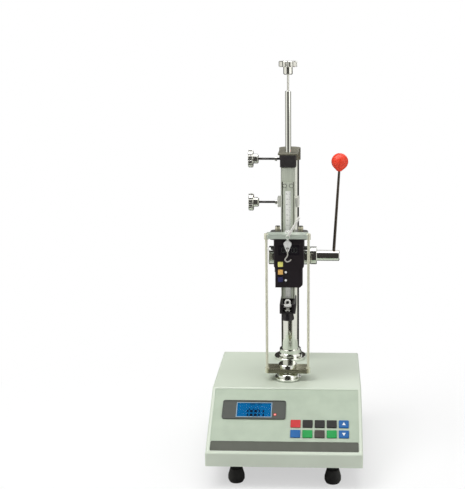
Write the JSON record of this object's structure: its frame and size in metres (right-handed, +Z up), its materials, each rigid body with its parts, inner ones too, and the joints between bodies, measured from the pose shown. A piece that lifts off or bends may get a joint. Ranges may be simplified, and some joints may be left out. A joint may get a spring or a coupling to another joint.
{
  "type": "spring tester",
  "caption": "Bench spring tester: sloped keypad console with display and load-cell platen, chrome column, rack-driven ram with ball-ended lever, scale readout, platens and hooks.",
  "frame": {"origin": "on the floor under the middle of the console", "axes": "+X to the user's right, -Y is the front with the keypad, +Z up along the column"},
  "size_m": [0.28, 0.34, 0.7405],
  "materials": {
    "arm_steel": "satin grey-brown",
    "ball_red": "gloss",
    "beam_steel": "satin",
    "bezel_plastic": "satin",
    "black_steel": "satin black",
    "board_green": "semi-gloss",
    "button_blue": "satin",
    "button_orange": "satin",
    "button_yellow": "satin",
    "cap_steel": "turned",
    "cell_aluminium": "machined",
    "console_paint": "satin",
    "foot_rubber": "matt",
    "head_steel": "satin grey",
    "inlet_plastic": "satin",
    "key_black": "satin",
    "key_blue": "satin",
    "key_brown": "satin",
    "key_green": "satin",
    "key_red": "satin",
    "knob_chrome": "polished",
    "lcd_blue": "backlit",
    "overlay_film": "fine texture",
    "plate_steel": "satin",
    "ram_steel": "ground",
    "readout_glass": "clear",
    "readout_plastic": "satin",
    "rod_chrome": "polished",
    "screw_steel": "satin",
    "strip_film": "fine texture",
    "window_glass": "clear",
    "yoke_steel": "satin plate"
  },
  "bodies": {
    "stand": {"base_plate": "plate_steel", "bearing_caps": "ram_steel", "circuit_boards": "board_green", "column": "rod_chrome", "column_flange": "rod_chrome", "console_cover": "console_paint", "display_bezel": "bezel_plastic", "head_housing": "head_steel", "lcd_module": "lcd_blue", "lcd_window": "window_glass", "load_cap": "cap_steel", "load_cell": "cell_aluminium", "lower_crossbar": "yoke_steel", "lower_platen": "rod_chrome", "panel_overlay": "overlay_film", "power_inlet": "inlet_plastic", "readout_body": "readout_plastic", "readout_window": "readout_glass", "shackle": "cap_steel", "side_rods": "yoke_steel", "small_screws": "screw_steel", "socket_screws": "screw_steel", "top_arm": "arm_steel", "top_block": "black_steel", "trim_strip": "strip_film", "upper_crossbar": "yoke_steel"},
    "lever": {"pinion_shaft": "ram_steel", "lever_hub": "rod_chrome", "lever_rod": "rod_chrome", "lever_ball": "ball_red"},
    "ram": {"ram_bar": "ram_steel", "guide_rod": "rod_chrome", "scale_beam": "beam_steel", "hook_bracket": "black_steel", "upper_platen": "black_steel"},
    "top_knob": {"top_knob": "knob_chrome"},
    "upper_lock": {"upper_lock_screw": "knob_chrome"},
    "collar": {"stop_collar": "ram_steel"},
    "lower_lock": {"lower_lock_screw": "knob_chrome"},
    "lower_hook": {"lower_hook": "rod_chrome"},
    "upper_hook": {"upper_hook": "rod_chrome"},
    "latch": {"latch_lever": "cap_steel"},
    "button_yellow": {"readout_button_yellow": "button_yellow"},
    "button_orange": {"readout_button_orange": "button_orange"},
    "button_blue": {"readout_button_blue": "button_blue"},
    "rocker": {"power_rocker": "inlet_plastic"},
    "key_top_1": {"key_top_1": "key_red"},
    "key_top_2": {"key_top_2": "key_black"},
    "key_top_3": {"key_top_3": "key_black"},
    "key_top_4": {"key_top_4": "key_black"},
    "key_top_5": {"key_top_5": "key_blue"},
    "key_low_1": {"key_low_1": "key_blue"},
    "key_low_2": {"key_low_2": "key_green"},
    "key_low_3": {"key_low_3": "key_brown"},
    "key_low_4": {"key_low_4": "key_green"},
    "key_low_5": {"key_low_5": "key_blue"},
    "foot_front_left": {"foot_front_left": "foot_rubber"},
    "foot_front_right": {"foot_front_right": "foot_rubber"},
    "foot_rear_left": {"foot_rear_left": "foot_rubber"},
    "foot_rear_right": {"foot_rear_right": "foot_rubber"}
  },
  "joints": [
    {"name": "lever_turn", "type": "hinge", "parent": "stand", "child": "lever", "pos_m": [0, 0.0815, 0.3672], "axis": [1, 0, 0], "range_deg": [0, 150]},
    {"name": "ram_slide", "type": "slide", "parent": "stand", "child": "ram", "axis": [0, 0, -1], "range_m": [0, 0.04713]},
    {"name": "top_knob_turn", "type": "hinge", "parent": "ram", "child": "top_knob", "pos_m": [0, 0.0525, 0.73], "axis": [0, 0, 1], "continuous": true},
    {"name": "collar_slide", "type": "slide", "parent": "ram", "child": "collar", "axis": [0, 0, 1], "range_m": [0, 0.04]},
    {"name": "lower_lock_turn", "type": "hinge", "parent": "collar", "child": "lower_lock", "pos_m": [-0.07, 0.0525, 0.4774], "axis": [1, 0, 0], "continuous": true},
    {"name": "upper_lock_turn", "type": "hinge", "parent": "stand", "child": "upper_lock", "pos_m": [-0.07, 0.0525, 0.5598], "axis": [1, 0, 0], "continuous": true},
    {"name": "lower_hook_swing", "type": "hinge", "parent": "ram", "child": "lower_hook", "pos_m": [0, 0.012, 0.2845], "axis": [1, 0, 0], "range_deg": [-25, 25]},
    {"name": "upper_hook_swing", "type": "hinge", "parent": "stand", "child": "upper_hook", "pos_m": [0, 0.012, 0.3962], "axis": [0, 1, 0], "range_deg": [-30, 30]},
    {"name": "latch_swing", "type": "hinge", "parent": "stand", "child": "latch", "pos_m": [0.001, -0.002, 0.42075], "axis": [0, 1, 0], "range_deg": [-28, 55]},
    {"name": "rocker_tip", "type": "hinge", "parent": "stand", "child": "rocker", "pos_m": [-0.0655, 0.163, 0.078], "axis": [1, 0, 0], "range_deg": [-6, 6]},
    {"name": "button_yellow_press", "type": "slide", "parent": "stand", "child": "button_yellow", "axis": [0, 1, 0], "range_m": [0, 0.0006], "stiffness_N_per_m": 400, "springref_m": -0.0005},
    {"name": "button_orange_press", "type": "slide", "parent": "stand", "child": "button_orange", "axis": [0, 1, 0], "range_m": [0, 0.0006], "stiffness_N_per_m": 400, "springref_m": -0.0005},
    {"name": "button_blue_press", "type": "slide", "parent": "stand", "child": "button_blue", "axis": [0, 1, 0], "range_m": [0, 0.0006], "stiffness_N_per_m": 400, "springref_m": -0.0005},
    {"name": "key_top_1_press", "type": "slide", "parent": "stand", "child": "key_top_1", "axis": [0, 0.5099, -0.8602], "range_m": [0, 0.0005], "stiffness_N_per_m": 400, "springref_m": -0.0005},
    {"name": "key_top_2_press", "type": "slide", "parent": "stand", "child": "key_top_2", "axis": [0, 0.5099, -0.8602], "range_m": [0, 0.0005], "stiffness_N_per_m": 400, "springref_m": -0.0005},
    {"name": "key_top_3_press", "type": "slide", "parent": "stand", "child": "key_top_3", "axis": [0, 0.5099, -0.8602], "range_m": [0, 0.0005], "stiffness_N_per_m": 400, "springref_m": -0.0005},
    {"name": "key_top_4_press", "type": "slide", "parent": "stand", "child": "key_top_4", "axis": [0, 0.5099, -0.8602], "range_m": [0, 0.0005], "stiffness_N_per_m": 400, "springref_m": -0.0005},
    {"name": "key_top_5_press", "type": "slide", "parent": "stand", "child": "key_top_5", "axis": [0, 0.5099, -0.8602], "range_m": [0, 0.0005], "stiffness_N_per_m": 400, "springref_m": -0.0005},
    {"name": "key_low_1_press", "type": "slide", "parent": "stand", "child": "key_low_1", "axis": [0, 0.5099, -0.8602], "range_m": [0, 0.0005], "stiffness_N_per_m": 400, "springref_m": -0.0005},
    {"name": "key_low_2_press", "type": "slide", "parent": "stand", "child": "key_low_2", "axis": [0, 0.5099, -0.8602], "range_m": [0, 0.0005], "stiffness_N_per_m": 400, "springref_m": -0.0005},
    {"name": "key_low_3_press", "type": "slide", "parent": "stand", "child": "key_low_3", "axis": [0, 0.5099, -0.8602], "range_m": [0, 0.0005], "stiffness_N_per_m": 400, "springref_m": -0.0005},
    {"name": "key_low_4_press", "type": "slide", "parent": "stand", "child": "key_low_4", "axis": [0, 0.5099, -0.8602], "range_m": [0, 0.0005], "stiffness_N_per_m": 400, "springref_m": -0.0005},
    {"name": "key_low_5_press", "type": "slide", "parent": "stand", "child": "key_low_5", "axis": [0, 0.5099, -0.8602], "range_m": [0, 0.0005], "stiffness_N_per_m": 400, "springref_m": -0.0005},
    {"name": "foot_front_left_turn", "type": "hinge", "parent": "stand", "child": "foot_front_left", "pos_m": [-0.087, -0.142, 0], "axis": [0, 0, 1], "continuous": true},
    {"name": "foot_front_right_turn", "type": "hinge", "parent": "stand", "child": "foot_front_right", "pos_m": [0.087, -0.142, 0], "axis": [0, 0, 1], "continuous": true},
    {"name": "foot_rear_left_turn", "type": "hinge", "parent": "stand", "child": "foot_rear_left", "pos_m": [-0.087, 0.142, 0], "axis": [0, 0, 1], "continuous": true},
    {"name": "foot_rear_right_turn", "type": "hinge", "parent": "stand", "child": "foot_rear_right", "pos_m": [0.087, 0.142, 0], "axis": [0, 0, 1], "continuous": true}
  ],
  "couplings": [
    {"joint": "ram_slide", "follows": "lever_turn", "m_per_rad": 0.018}
  ]
}
